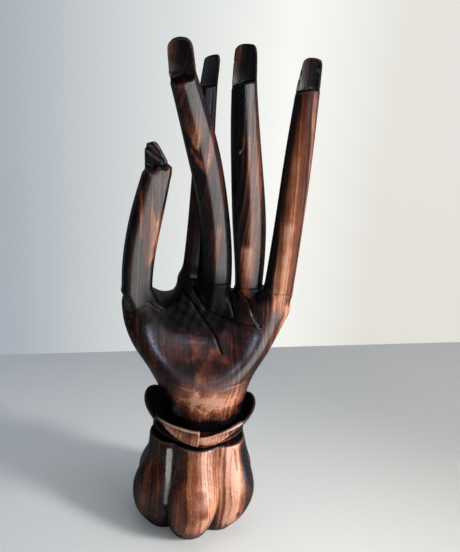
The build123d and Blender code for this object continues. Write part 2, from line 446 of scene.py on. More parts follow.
# Petals, from the front round by the right: first and last angle, the heights of the rim at five places
# between and those of the lower edge, how far each end stands out, and the curve the petal is bent to
PETAL_ROWS = (
    (-3, 50, (61.6, 62.4, 64.5, 66.6, 68.6), (55.6, 55.2, 57.4, 61.8, 65.6), (-1.4, 0.5), petal_wall),
    (42, 130, (67, 67.6, 70.6, 70.2, 66), (64.6, 61, 59.4, 60, 63), (-0.5, -0.5), ear_wall),
    (118, 184, (66, 68, 69.4, 68.4, 65.6), (64, 60, 57.8, 57.4, 57.6), (-0.6, 0.6), petal_wall),
    (178, 242, (65.6, 68, 69.4, 68.4, 66), (57.6, 57.4, 58, 60.4, 64), (-0.6, 0.6), petal_wall),
    (230, 306, (66, 70, 70.8, 69.4, 65.6), (63, 60, 59.4, 61, 63.6), (-0.5, -0.5), ear_wall),
    (301, 362, (67.4, 67.4, 67.4, 67.4, 67.2), (65.6, 64.4, 61, 58.2, 57), (-1.8, 1.3), petal_wall),
)


def petal_field(radius, height, angle, row):
    """One petal: a bent sheet between a rim, a lower edge and two ends."""
    first, last, rims, feet, outs, wall = row
    middle = (first + last) / 2
    half = (last - first) / 2
    share = ((angle - middle + 180.0) % 360.0 - 180.0) / half
    place = np.clip(share, -1.0, 1.0)
    spots = np.linspace(-1.0, 1.0, len(rims))
    level = np.clip(height, PETAL_LEVELS[0], PETAL_LEVELS[-1])
    lean = outs[0] + (outs[1] - outs[0]) * (place + 1) / 2
    sheet = np.abs(radius - wall(level) - lean) - PETAL_HALF
    sheet = trim(sheet, height - smooth_curve(spots, rims)(place), PETAL_EDGE)
    sheet = trim(sheet, smooth_curve(spots, feet)(place) - height, PETAL_EDGE)
    return trim(sheet, (np.abs(share) - 1.0) * half * RIM_PER_DEGREE, PETAL_EDGE)


def collar_field(p):
    """A short stem, a bowl round the wrist, and six petals that lap over each other; the bowl's dark look is
    painted shade in the wood's colour.
    """
    x = p[:, 0] - COLLAR_SIDE
    radius = np.hypot(x, p[:, 1])
    height = p[:, 2]
    angle = np.degrees(np.arctan2(x, -p[:, 1]))
    stem = np.maximum(radius - STEM_RADIUS, height - WRIST_SEAT)
    bowl = radius - BOWL_RADIUS - BOWL_FLARE * (height - WRIST_SEAT)
    bowl = np.maximum(bowl, np.maximum(STEM_TOP - height, height - BOWL_TOP))
    bowl = np.maximum(bowl, np.where(height > WRIST_SEAT, CUP_RADIUS - radius, -1.0))
    body = melt(stem, bowl, STEM_FLOW)
    for row in PETAL_ROWS:
        body = melt(body, petal_field(radius, height, angle, row), PETAL_FLOW)
    inner = np.maximum(radius - INNER_RADIUS, CUP_RADIUS - radius)
    inner = np.maximum(inner, np.maximum(STEM_TOP - height, height - INNER_TOP))
    body = melt(body, inner, PETAL_FLOW)
    body = np.maximum(body, BASE_TOP - height)
    return np.maximum(body, -wrist_hole(p))


palm_width = smooth_curve(PALM_LEVELS, PALM_WIDTHS)
palm_depth = smooth_curve(PALM_LEVELS, PALM_DEPTHS)
palm_side = smooth_curve(PALM_LEVELS, PALM_SIDES)
palm_back = smooth_curve(PALM_LEVELS, PALM_BACKS)

# Lines cut into the palm, as places across and up: (depth, width, points)
PALM_LINES = (
    (0.9, 0.6, ((-6.8, 132), (-3, 126), (1, 121.1), (7.2, 118.9), (15.8, 116.2), (24.6, 116.6))),
    (0.9, 0.6, ((-12.1, 130), (-6.7, 124.4), (-0.1, 116), (5.9, 109.3), (9.5, 102.4))),
    (0.7, 0.6, ((10.6, 132), (12.7, 125.1), (14.6, 119.2))),
    (0.7, 0.6, ((17.2, 130.5), (22, 125.9), (23.8, 121.1), (27.6, 116.7))),
    (0.5, 0.5, ((-28, 125), (-21.6, 120.5))),
    (0.4, 0.8, ((-38.2, 118.2), (-35, 120), (-31, 123.2), (-26, 125.5))),
    (0.45, 0.8, ((-16.4, 90.6), (-8.3, 87.6), (-0.4, 86.5), (12.5, 88.3), (19.9, 89.1), (25, 90.1))),
)


def palm_body(p):
    """Wrist and palm with the hollow and the thumb's web."""
    height = np.clip(p[:, 2], PALM_LEVELS[0], PALM_LEVELS[-1])
    wide = palm_width(height) / 2
    deep = palm_depth(height) / 2
    x = (p[:, 0] - palm_side(height)) / wide
    y = (p[:, 1] - palm_back(height)) / deep
    body = (np.sqrt(x * x + y * y) - 1) * np.minimum(wide, deep)
    body = trim(body, p[:, 2] - CROWN, CROWN_EDGE)
    hollow = HOLLOW_RADIUS - np.sqrt(((p - np.array(HOLLOW_CENTRE)) ** 2).sum(1))
    body = trim(body, hollow, HOLLOW_EDGE)
    web = WEB_RADIUS - np.hypot(p[:, 0] - WEB_CENTRE[0], p[:, 2] - WEB_CENTRE[1])
    return trim(body, web, WEB_EDGE)


def root_cut(rise, p, depth):
    """A crease cut round the front of a digit where it leaves the palm."""
    front = np.clip((CREASE_BACK - p[:, 1]) / CREASE_FADE, 0.0, 1.0)
    return depth * front * np.exp(-((rise / CREASE_WIDTH) ** 2))


def tool_marks(p):
    """Shallow scoops left by the gouge in the hollow of the palm."""
    x = p[:, 0]
    z = p[:, 2]
    across = (x - GOUGE_PLACE[0]) / GOUGE_SPREAD[0]
    up = (z - GOUGE_PLACE[1]) / GOUGE_SPREAD[1]
    near = np.exp(-(across**2) - up**2)
    front = np.clip((CUT_FADE - p[:, 1]) / CUT_FADE, 0.0, 1.0)
    strokes = np.sin(0.9 * x + 0.5 * z + np.sin(0.4 * z))
    return GOUGE_DEPTH * near * front * strokes * np.sin(0.8 * z - 0.35 * x)


def palm_field(p):
    """The palm with the roots of the digits, cut off at the joints, and the cut lines."""
    body = palm_body(p)
    rods = np.stack([digit.rod(p, ROOT_POINTS) for digit in digits])
    rises = np.stack([digit.above_joint(p) for digit in digits])
    for digit, rod in zip(digits, rods):
        body = melt(body, rod, digit.web)
    nearest = rods.argmin(0)[None]
    rise = np.take_along_axis(rises, nearest, 0)[0]
    crease = np.array([digit.crease for digit in digits])[nearest[0]]
    lap = np.array([digit.lap for digit in digits])[nearest[0]]
    body = body + root_cut(rise, p, crease) + LAP_SINK * np.maximum(rise, 0.0) ** 2
    body = np.maximum(body, rise - lap)
    body = cut_lines(body, p, PALM_LINES, PALM_CUT_BACK) + tool_marks(p)
    body = np.maximum(body, WRIST_SEAT - p[:, 2])
    for digit in digits:
        body = np.maximum(body, -digit.hole(p))
    return np.maximum(body, -wrist_hole(p))


# Surfaces: every fourth layer is read whole, the others only near the surface
COARSE = 4
SLACK = 1.5
FAR = 99.0
NUDGE = 0.02
SETTLE_ROUNDS = 3
FLATTEST = 0.05
LONGEST_MOVE = 0.5
SHARP_ANGLE = 50.0
CUBE = np.array([(i, j, k) for i in (0, 1) for j in (0, 1) for k in (0, 1)])
CUBE_EDGES = [
    (a, b) for a in range(8) for b in range(a + 1, 8) if np.abs(CUBE[a] - CUBE[b]).sum() == 1
]


def skin(field, low, high, step):
    """Points and four-sided faces of the surface where a field is zero."""
    low = np.array(low, float)
    counts = np.ceil((np.array(high, float) - low) / step).astype(int) + 1
    axes = [low[k] + step * np.arange(counts[k]) for k in range(3)]
    sheet = np.stack(np.meshgrid(axes[1], axes[2], indexing="ij"), -1).reshape(-1, 2)
    values = np.empty(counts)
    for place, x in enumerate(axes[0]):
        p = np.column_stack((np.full(len(sheet), x), sheet))
        if place % COARSE == 0:
            rough = field(p)
            near = np.abs(rough) < (COARSE + 2) * step * SLACK
            slab = np.where(rough < 0, -FAR, FAR)
            slab[near] = rough[near]
        else:
            slab = np.where(rough < 0, -FAR, FAR)
            slab[near] = field(p[near])
        values[place] = slab.reshape(counts[1], counts[2])
    inside = values < 0

    corners = sum(
        inside[i : counts[0] - 1 + i, j : counts[1] - 1 + j, k : counts[2] - 1 + k].astype(int)
        for i, j, k in CUBE
    )
    cells = np.argwhere((corners > 0) & (corners < 8))
    number = np.full(corners.shape, -1)
    number[tuple(cells.T)] = np.arange(len(cells))
    readings = np.stack([values[tuple((cells + corner).T)] for corner in CUBE], 1)
    total = np.zeros((len(cells), 3))
    hits = np.zeros((len(cells), 1))
    for a, b in CUBE_EDGES:
        va, vb = readings[:, a], readings[:, b]
        crossed = (va < 0) != (vb < 0)
        share = np.where(crossed, va / np.where(crossed, va - vb, 1.0), 0.0)[:, None]
        total += np.where(crossed[:, None], CUBE[a] + share * (CUBE[b] - CUBE[a]), 0.0)
        hits += crossed[:, None]
    points = low + step * (cells + total / hits)

    faces = []
    for axis in range(3):
        u, v = (axis + 1) % 3, (axis + 2) % 3
        first = np.take(inside, range(counts[axis] - 1), axis)
        second = np.take(inside, range(1, counts[axis]), axis)
        for mask, order in ((first & ~second, (0, 1, 2, 3)), (~first & second, (3, 2, 1, 0))):
            spots = np.argwhere(mask)
            spots = spots[(spots[:, u] > 0) & (spots[:, v] > 0)]
            ring = []
            for du, dv in ((-1, -1), (0, -1), (0, 0), (-1, 0)):
                cell = spots.copy()
                cell[:, u] += du
                cell[:, v] += dv
                ring.append(number[tuple(cell.T)])
            faces.append(np.column_stack(ring)[:, order])
    return points, np.vstack(faces)


def settle(field, points, step):
    """Moves the points of a surface onto the field's true zero."""
    for _ in range(SETTLE_ROUNDS):
        value = field(points)
        change = [field(points + NUDGE * way) - field(points - NUDGE * way) for way in np.eye(3)]
        slope = np.column_stack(change) / (2 * NUDGE)
        size = np.maximum((slope**2).sum(1), FLATTEST)
        move = -(value / size)[:, None] * slope
        far = np.maximum(np.linalg.norm(move, axis=1) / (LONGEST_MOVE * step), 1.0)
        points = points + move / far[:, None]
    return points


def put(name, data):
    """An object placed in the scene."""
    made = bpy.data.objects.new(name, data)
    bpy.context.scene.collection.objects.link(made)
    return made


def make_piece(name, node, field, low, high, step, material):
    """A piece of wood with the closed surface of a field, in place of a node."""
    points, faces = skin(field, low, high, step)
    points = settle(field, points, step)
    mesh = bpy.data.meshes.new(name)
    mesh.from_pydata((points * MM).tolist(), [], faces.tolist())
    mesh.validate()
    mesh.shade_smooth()
    mesh.set_sharp_from_angle(angle=math.radians(SHARP_ANGLE))
    mesh.materials.append(material)
    piece = put(name, mesh)
    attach(piece, "root")
    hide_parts(node)


class Shader:
    """A material's node tree, built a node at a time; values may be numbers or other nodes' outputs."""

    def __init__(self, name):
        self.material = bpy.data.materials.new(name)
        self.material.use_nodes = True
        self.tree = self.material.node_tree
        self.surface = self.tree.nodes["Principled BSDF"]
        here = self.add("TexCoord").outputs["Object"]
        self.place = self.add("VectorMath", {0: here, "Scale": 1 / MM}, operation="SCALE").outputs[0]

    def feed(self, socket, value):
        if isinstance(value, bpy.types.NodeSocket):
            self.tree.links.new(value, socket)
        else:
            socket.default_value = value

    def give(self, name, value):
        """Sets one property of the surface."""
        self.feed(self.surface.inputs[name], value)

    def add(self, kind, inputs=None, **settings):
        made = self.tree.nodes.new("ShaderNode" + kind)
        for key, value in settings.items():
            setattr(made, key, value)
        for key, value in (inputs or {}).items():
            self.feed(made.inputs[key], value)
        return made

    def sum(self, first, second, scale=1.0):
        """first + second * scale"""
        made = self.add("Math", {0: second, 1: scale, 2: first}, operation="MULTIPLY_ADD")
        return made.outputs[0]

    def times(self, first, second):
        return self.add("Math", {0: first, 1: second}, operation="MULTIPLY").outputs[0]

    def spread(self, value, low, high, start=0.0, end=1.0):
        """A value stretched from one range to another and held at its ends."""
        made = self.add("MapRange", {0: value, 1: low, 2: high, 3: start, 4: end})
        return made.outputs[0]

    def band(self, value, edges):
        """1 between the two inner edges, falling to 0 at the outer ones."""
        start, full, fade, end = edges
        rising = self.spread(value, start, full)
        return self.times(rising, self.spread(value, fade, end, 1.0, 0.0))

    def blend(self, share, first, second):
        """From the first value at share 0 to the second at 1."""
        made = self.add("Mix", {"Factor": share, "A": first, "B": second}, data_type="FLOAT")
        return made.outputs["Result"]

    def mix(self, share, first, second):
        """From the first colour at share 0 to the second at 1."""
        made = self.add("Mix", {"Factor": share, "A": first, "B": second}, data_type="RGBA")
        return made.outputs["Result"]

    def noise(self, place, detail=2.0, rough=0.5):
        made = self.add("TexNoise", {"Vector": place, "Scale": 1.0, "Detail": detail, "Roughness": rough})
        return made.outputs["Fac"]

    def grain(self, size, detail=2.0, rough=0.5):
        """Noise in spots of this size."""
        return self.noise(self.stretched(self.place, size), detail, rough)

    def streak(self, value, detail=2.0, rough=0.5):
        inputs = {"W": value, "Scale": 1.0, "Detail": detail, "Roughness": rough}
        return self.add("TexNoise", inputs, noise_dimensions="1D").outputs["Fac"]

    def ramp(self, value, stops):
        made = self.add("ValToRGB", {"Fac": value})
        band = made.color_ramp
        while len(band.elements) < len(stops):
            band.elements.new(1.0)
        for element, (place, colour) in zip(band.elements, stops):
            element.position = place
            element.color = (*colour, 1.0)
        return made.outputs["Color"]

    def dent(self, height, strength):
        """Fine dents in the surface."""
        bump = self.add("Bump", {"Height": height, "Strength": strength, "Distance": DENT_DEPTH})
        self.give("Normal", bump.outputs["Normal"])

    def sum_places(self, place, shift, scale):
        """A place moved the same way along all three axes."""
        shift = self.times(shift, scale)
        return self.add("VectorMath", {0: place, 1: shift}, operation="ADD").outputs[0]

    def stretched(self, place, size):
        """A place counted in lengths of these sizes along the three axes."""
        per_length = tuple(1.0 / length for length in size)
        return self.add("VectorMath", {0: place, 1: per_length}, operation="MULTIPLY").outputs[0]

    def vein(self, place, start, end, reach):
        """1 on the straight line between two places, falling to 0 at the reach."""
        run = Vector(end) - Vector(start)
        off = self.add("VectorMath", {0: place, 1: start}, operation="SUBTRACT").outputs[0]
        along = self.add("VectorMath", {0: off, 1: run / run.length_squared}, operation="DOT_PRODUCT")
        share = self.spread(along.outputs["Value"], 0.0, 1.0)
        foot = self.add("VectorMath", {0: run, "Scale": share}, operation="SCALE").outputs[0]
        far = self.add("VectorMath", {0: off, 1: foot}, operation="DISTANCE").outputs["Value"]
        ends = {0: far, 1: 0.0, 2: reach, 3: 1.0, 4: 0.0}
        return self.add("MapRange", ends, interpolation_type="SMOOTHSTEP").outputs[0]

    def patch(self, start, end, reach):
        """A vein that runs straight."""
        return self.vein(self.place, start, end, reach)


# Darker and lighter veins in the block: start, end, reach, and how much lighter the vein is. The dark ones
# down the left sides of the digits, wrist and foot, which face away from the lamps, are dark wood and
# painted shade; the light ones on the front of the wrist and the right of the foot, where the sun falls, are
# copper wood and painted light.
VEINS = (
    ((-42, -9, 118), (-42, -10, 158), 7, -0.55),
    ((-42, -10, 158), (-35, -8, 190), 7, -0.55),
    ((-23.4, -12, 182.5), (-23.2, -12, 183.5), 2.2, 0.5),
    ((-34, -12, 124), (-30, -15, 192), 9, -0.12),
    ((-29, -7, 193), (-31, -4, 202), 8, -0.2),
    ((-7, 10, 120), (-6, 14, 240), 14, -0.22),
    ((-5, 0, 128), (-4, -3, 172), 7, -0.4),
    ((-4, -3, 172), (-25, -22, 236), 6, -0.3),
    ((5.5, -8, 138), (4.5, -8, 163), 4.5, 0.38),
    ((-18, -25, 226), (-16, -24, 231), 4, 0.25),
    ((-15.5, -24, 232), (-16.5, -27, 246), 7, -0.25),
    ((10.8, 3, 232), (10.6, 6, 247), 5, -0.35),
    ((6, 3, 232), (5.4, 6, 247), 3.5, 0.3),
    ((37.5, 1, 233), (38.5, 4, 244), 4.5, 0.12),
    ((42, 2, 233), (42.5, 5, 244), 4, -0.3),
    ((11, 0, 128), (4, 0, 242), 9, -0.45),
    ((18.5, -4, 132), (17, -5, 152), 5.5, 0.62),
    ((23, -3, 140), (14, -4, 205), 5, 0.3),
    ((29, -2, 132), (32.5, 0, 240), 8, -0.65),
    ((36, -7, 126), (37, -8, 225), 7, 0.36),
    ((33.5, -6, 128), (35.5, -7, 165), 6, 0.2),
    ((44, -4, 118), (45, -3, 225), 7.5, 0.38),
    ((27.5, -2, 136), (16.5, -2, 228), 3.5, 0.45),
    ((39.5, -9, 120), (41.5, -8, 215), 1.6, -0.55),
    ((-14, -10, 128), (2, -10, 126), 26, -0.34),
    ((-6, -24, 92), (4, -24, 90), 16, -0.06),
    ((41, -2, 124), (28, -6, 92), 6, 0.4),
    # copper front of the wrist, made lighter where the sun falls: copper wood and painted light
    ((-2, -20, 79.6), (16, -19, 78.4), 17, 0.60),
    ((-9, -23, 96), (-3, -23, 98), 8, -0.14),
    ((-20, -8, 62), (-14, -14, 82), 11, -0.12),
    ((-14, -24, 63), (14, -25, 61), 9, 0.55),
    ((-6, -14, 109), (6, -16, 100), 13, 0.05),
    ((9, -33, 4), (8, -28, 52), 12, 0.54),
    ((-4, -35, 4), (-4, -27, 52), 9, 0.34),
    # right of the foot, made lighter where the low sun falls: paler wood and painted light
    ((22, -26, 2), (19, -18, 52), 14, 0.60),
    ((6.2, -30.4, 32), (7.4, -33, 22), 3.4, -0.3),
    ((20.9, -16.4, 50), (26, -22, 12), 1.6, -0.45),
    ((27, -10, 46), (30.5, -20, 14), 3, -0.4),
    ((33, -14, 4), (26.5, -14, 50), 5, -0.38),
    ((36, -6, 4), (28, -5, 50), 7, -0.08),
    ((-33, -12, 0), (-24, -10, 52), 8, -0.22),
    ((-28, -22, 6), (-23, -17, 40), 6, 0.22),
)

# Places where the layers are cut at a slant and show as a V: foot, head, steepness, lowest and highest
# place of the point, reach, and how much lighter the V is
V_EDGE = 1.5
V_RAGS = (2.5, 2.5, 12)
CHEVRONS = (
    ((-29, -13, 143), (-25.5, -13, 165), 3.2, 141, 164, 30, 0.36),
    ((-3, -12, 186), (-9.5, -18, 204.5), 1.8, 189, 194.5, 13, 0.40),
    ((-3, -12, 186), (-9.5, -18, 204.5), 1.8, 199, 213, 14, 0.40),
)

# Places the polish hardly reaches: start, end, reach and how much of the shine is lost
DULL_PLACES = (
    ((-18, -8, 124), (12, -6, 126), 22, 1),
    ((-13, -6, 115), (4, -6, 112), 10, 1),
    ((-41, -8, 112), (-30, -15, 118), 7.5, 0.9),
    ((-18, -26, 235), (-19.5, -28, 247), 11, 1),
    ((8.8, 2, 236), (8.4, 4, 247), 9, 1),
    ((39, 0, 235), (39.5, 2, 243), 7.5, 0.8),
    ((-7, 8, 140), (-5.5, 12, 242), 10, 0.55),
    ((36, -8, 132), (41, -7, 226), 13, 0.75),
    ((-10, -20, 100), (6, -20, 99), 15, 0.6),
    ((16, -14, 110), (19, -15, 102), 8, 0.6),
)


# Sizes of the parts of the grain, across and along the block, and how its layers lean and wander
SLOW_WAVES = (60, 60, 260)
QUICK_WAVES = (9, 9, 60)
FIBRES = (0.5, 0.5, 14)
CLOUDS = (7, 7, 15)
BLOTCHES = (6, 6, 7)
PORES = (0.25, 0.25, 4)
SMEARS = (6, 6, 10)
CURLS = (3, 3, 1.6)
CURL_BENDS = (6, 6, 6)
LAYER_LEAN = 0.3
SLOW_WANDER = 14.0
QUICK_WANDER = 5.0
BROAD_LAYER = 6.0
FINE_LAYER = 1.5

# Patches with a look of their own: start, end and reach
FLAT_CUT = ((-4, -18, 88), (4, -12, 112), 34)
STAIN = ((-12, -8, 122), (2, -8, 126), 26)
CURLY = ((-4, -20, 76), (14, -19, 76), 17)
# a pale strip on a lobe of the foot: painted highlight where a reflection shows
PAINTED_HIGHLIGHT_STRIP = ((-12.6, -18.9, 49), (-12.2, -23.6, 21), 2.8)
RUBBED_HEEL = ((-8, -23, 88), (10, -23, 88), 13)
RUBBED_HOLLOW = ((-10, -11, 107), (6, -12, 104), 13)

# Heights where a shade starts, is full, begins to fade and ends, and how much lighter it makes the wood. The
# groove under the collar and the collar's cup are darkened as painted shade; the side petals are made
# darker.
GROOVE_PAINTED_SHADE = (52.4, 53, 56, 58)
CUP_PAINTED_SHADE = (53, 54, 73, 74)
EAR_SHADE = (57, 58.5, 72, 73)
GROOVE_LIGHTER = -0.5
CUP_LIGHTER = -0.5
EAR_LIGHTER = -0.3
STAIN_LIGHTER = -0.20
CURL_LIGHTER = 0.24
FIBRE_LIGHTER = 0.22
ALL_LIGHTER = -0.44

# From black through red-brown to pale copper, and the colours laid over it
WOOD_TINTS = (
    (0.0, (0.002, 0.002, 0.002)),
    (0.3, (0.004, 0.003, 0.003)),
    (0.45, (0.016, 0.005, 0.004)),
    (0.6, (0.056, 0.014, 0.007)),
    (0.78, (0.15, 0.043, 0.019)),
    (0.9, (0.27, 0.098, 0.045)),
    (1.0, (0.43, 0.215, 0.14)),
)
# colour of the painted highlight strip on the foot
HIGHLIGHT_STRIP_TINT = (0.42, 0.40, 0.37, 1.0)
PORE_TINT = (0.006, 0.004, 0.003, 1.0)
# tint of the worn edges and their painted rim highlights
WEAR_AND_HIGHLIGHT_TINT = (0.52, 0.34, 0.26, 1.0)

# Rod wood
ROD_GRAIN = (0.9, 0.9, 22)
ROD_PORES = (0.2, 0.2, 2.5)
ROD_TINTS = ((0.3, (0.40, 0.25, 0.13)), (0.5, (0.52, 0.35, 0.20)), (0.7, (0.60, 0.43, 0.26)))
ROD_PORE_TINT = (0.22, 0.13, 0.07, 1.0)
DENT_DEPTH = 0.0002


class DarkHardwood(Shader):
    """Black wood with red-brown and copper veins that run up through the block, under a satin polish."""

    def __init__(self):
        super().__init__("dark_hardwood")
        self.axes = self.add("SeparateXYZ", {0: self.place}).outputs
        self.height = self.axes["Z"]
        slow = self.grain(SLOW_WAVES)
        self.wavy = self.grain(QUICK_WAVES)
        layer = self.sum(self.axes["X"], self.axes["Y"], LAYER_LEAN)
        layer = self.sum(layer, slow, SLOW_WANDER)
        layer = self.sum(layer, self.wavy, QUICK_WANDER)
        self.broad = self.streak(self.times(layer, 1 / BROAD_LAYER))
        self.fine = self.streak(self.times(layer, 1 / FINE_LAYER), 3.0, 0.65)
        self.fibre = self.grain(FIBRES, 3.0, 0.6)
        self.cloud = self.grain(CLOUDS, 3.0, 0.6)
        pores = self.grain(PORES)
        self.pores = self.spread(pores, 0.60, 0.72)
        # painted shade in the groove under the collar
        self.groove = self.band(self.height, GROOVE_PAINTED_SHADE)
        self.ears = self.ear_shade()
        self.radius = self.from_axis()
        # painted shade in the collar's cup and at the foot of the wrist
        self.cup_painted_shade = self.cup_shade()
        self.give("Base Color", self.colour())
        self.polish()

    def chevron(self, foot, head, steep, low, high, reach):
        """A V-shaped band round the line from foot to head, between two heights of its point."""
        lean = (head[0] - foot[0]) / (head[2] - foot[2])
        across = self.sum(self.sum(self.axes["X"], self.height, -lean), lean * foot[2] - foot[0])
        across = self.add("Math", {0: across}, operation="ABSOLUTE").outputs[0]
        ragged = self.sum(-5.0, self.grain(V_RAGS, 3.0, 0.6), 10.0)
        rise = self.sum(self.sum(self.height, across, -steep), ragged)
        edges = (low - V_EDGE, low + V_EDGE, high - V_EDGE, high + V_EDGE)
        return self.times(self.band(rise, edges), self.patch(foot, head, reach))

    def ear_shade(self):
        """1 on the two petals that stand out at the sides."""
        beside = self.sum(self.axes["X"], -COLLAR_SIDE)
        beside = self.add("Math", {0: beside}, operation="ABSOLUTE").outputs[0]
        return self.times(self.spread(beside, 20.0, 23.0), self.band(self.height, EAR_SHADE))

    def from_axis(self):
        """Distance from the collar's upright axis."""
        terms = {0: self.place, 1: (1.0, 1.0, 0.0), 2: (-COLLAR_SIDE, 0.0, 0.0)}
        off_axis = self.add("VectorMath", terms, operation="MULTIPLY_ADD").outputs[0]
        return self.add("VectorMath", {0: off_axis}, operation="LENGTH").outputs["Value"]

    def cup_shade(self):
        """1 in the collar's cup and at the foot of the wrist, where the wood is darkened as painted shade.
        """
        inward = self.sum(self.sum(self.times(self.height, 0.33), 5.2), self.radius, -1.0)
        sunk = self.spread(self.sum(self.height, self.cloud, 5.0), 68.5, 70.0, 1.0, 0.0)
        off_wrist = self.spread(self.radius, 21.8, 22.6)
        deep = self.add("Math", {0: off_wrist, 1: sunk}, operation="MAXIMUM").outputs[0]
        shade = self.times(self.spread(inward, -0.3, 0.5), deep)
        return self.times(shade, self.band(self.height, CUP_PAINTED_SHADE))

    def stain(self):
        """1 in the hollow below the fingers, with a ragged lower edge."""
        height = self.sum(self.height, self.sum(self.cloud, self.fine, 0.3), 16.0)
        above = self.spread(height, 122.6, 124.2)
        return self.spread(self.times(above, self.patch(*STAIN)), 0.1, 0.5)

    def curls(self):
        """Curled grain on the front of the wrist."""
        bend = self.grain(CURL_BENDS)
        curl = self.noise(self.sum_places(self.stretched(self.place, CURLS), bend, 5.0))
        return self.times(self.spread(curl, 0.3, 0.7, -0.5, 0.5), self.patch(*CURLY))

    def tone(self):
        """How light the wood is, from black at 0 to pale copper at 1."""
        streaks = self.sum(self.sum(self.times(self.broad, 0.50), self.fine, 0.62), self.cloud, 0.45)
        blotch = self.grain(BLOTCHES, 4.0, 0.65)
        mottle = self.sum(self.sum(self.times(self.broad, 0.22), self.fine, 0.18), blotch, 1.35)
        tone = self.blend(self.patch(*FLAT_CUT), streaks, self.sum(mottle, -0.04))
        tone = self.sum(tone, self.fibre, FIBRE_LIGHTER)
        # painted shade: the groove under the collar is darkened
        tone = self.sum(tone, self.groove, GROOVE_LIGHTER)
        # painted shade: the collar's cup and the foot of the wrist are darkened
        tone = self.sum(tone, self.cup_painted_shade, CUP_LIGHTER)
        for *shape, lighter in CHEVRONS:
            tone = self.sum(tone, self.chevron(*shape), lighter)
        tone = self.sum(tone, self.stain(), STAIN_LIGHTER)
        tone = self.sum(tone, self.ears, EAR_LIGHTER)
        sway = self.sum(self.times(self.wavy, 6.0), self.fine, 2.0)
        shifted = self.sum(self.sum(self.axes["X"], sway), -4.0)
        bent = {"X": shifted, "Y": self.axes["Y"], "Z": self.height}
        bent = self.add("CombineXYZ", bent).outputs[0]
        for *line, lighter in VEINS:
            tone = self.sum(tone, self.vein(bent, *line), lighter)
        tone = self.sum(tone, self.curls(), CURL_LIGHTER)
        return self.sum(tone, ALL_LIGHTER)

    def wear_and_rim_highlight(self):
        """Edges rubbed pale and painted with highlights along the rims, most of all on the collar and the
        foot.
        """
        convex = self.add("NewGeometry").outputs["Pointiness"]
        low_down = self.spread(self.height, 72.0, 78.0, 1.0, 0.12)
        wear_and_highlight_reach = self.times(low_down, self.sum(1.0, self.ears, -0.85))
        wear_and_highlight_reach = self.times(wear_and_highlight_reach, self.spread(self.height, 57.0, 60.0, 0.2, 1.0))
        patchy = self.spread(self.cloud, 0.35, 0.6, 0.4, 1.0)
        wear_and_rim_highlight = self.times(self.spread(convex, 0.51, 0.55, 0.0, 0.85), patchy)
        wear_and_rim_highlight = self.times(self.times(wear_and_rim_highlight, wear_and_highlight_reach), self.sum(1.0, self.cup_painted_shade, -1.0))
        return self.times(wear_and_rim_highlight, self.spread(self.radius, 21.0, 22.0))

    def colour(self):
        """The wood's colour with the painted highlight strip on the foot, the pores, and the worn edges with
        their painted rim highlights.
        """
        colour = self.ramp(self.tone(), WOOD_TINTS)
        # painted highlight: a pale strip on a lobe of the foot
        highlight_strip = self.times(self.patch(*PAINTED_HIGHLIGHT_STRIP), self.spread(self.fibre, 0.3, 0.6, 0.5, 1.0))
        colour = self.mix(self.spread(highlight_strip, 0.25, 0.6, 0.0, 0.85), colour, HIGHLIGHT_STRIP_TINT)
        colour = self.mix(self.times(self.pores, 0.5), colour, PORE_TINT)
        # worn edges: wear and painted rim highlights
        return self.mix(self.wear_and_rim_highlight(), colour, WEAR_AND_HIGHLIGHT_TINT)

    def polish(self):
        """A satin polish that is lost in places, and the fine dents of fibres and pores."""
        unpolished = self.cup_painted_shade
        for *line, lost in DULL_PLACES:
            unpolished = self.sum(unpolished, self.patch(*line), lost)
        unpolished = self.spread(self.sum(unpolished, self.groove), 0.1, 0.7)
        rubbed = self.sum(self.patch(*RUBBED_HEEL), self.patch(*RUBBED_HOLLOW), 0.7)
        smear = self.grain(SMEARS, 3.0, 0.6)
        rough = self.sum(self.spread(smear, 0.3, 0.7, 0.20, 0.29), unpolished, 0.15)
        rough = self.sum(rough, self.spread(self.fibre, 0.3, 0.7, -0.05, 0.09))
        gloss = self.spread(self.fine, 0.25, 0.75, 0.42, 0.72)
        gloss = self.times(gloss, self.spread(unpolished, 0.0, 1.0, 1.0, 0.12))
        self.give("Roughness", self.sum(rough, rubbed, 0.25))
        self.give("Specular IOR Level", gloss)
        self.give("Coat Weight", self.sum(0.15, unpolished, -0.15))
        self.give("Coat Roughness", 0.18)
        self.dent(self.sum(self.times(self.fibre, 0.4), self.pores, -0.6), 0.2)


def dowel_wood():
    """Plain pale rod wood with fine straight grain and short pores."""
    wood = Shader("dowel_wood")
    grain = wood.grain(ROD_GRAIN, 4.0, 0.6)
    pores = wood.spread(wood.grain(ROD_PORES), 0.60, 0.75, 0.0, 0.5)
    colour = wood.mix(pores, wood.ramp(grain, ROD_TINTS), ROD_PORE_TINT)
    wood.give("Base Color", colour)
    wood.give("Roughness", wood.spread(grain, 0.3, 0.7, 0.50, 0.66))
    wood.dent(wood.sum(grain, pores, -1.0), 0.15)
    return wood.material


# Paint of the wall and the shelf, from left to right; the wall's tints are painted light that glows, darker
# at the left and brightest a little right of the middle
PAINT_PATCHES = (160, 160, 160)
PAINT_LEFT = -160.0
PAINT_RIGHT = 240.0
WALL_PAINTED_LIGHT = (
    (0.0, (0.39, 0.435, 0.48)),
    (0.54, (0.92, 0.92, 0.88)),
    (0.78, (0.75, 0.73, 0.68)),
)
SHELF_TINTS = ((0.0, (0.44, 0.47, 0.50)), (1.0, (0.47, 0.45, 0.41)))
WALL_BOUNCE = (0.55, 0.565, 0.565)
SHELF_BOUNCE = (0.585, 0.61, 0.625)


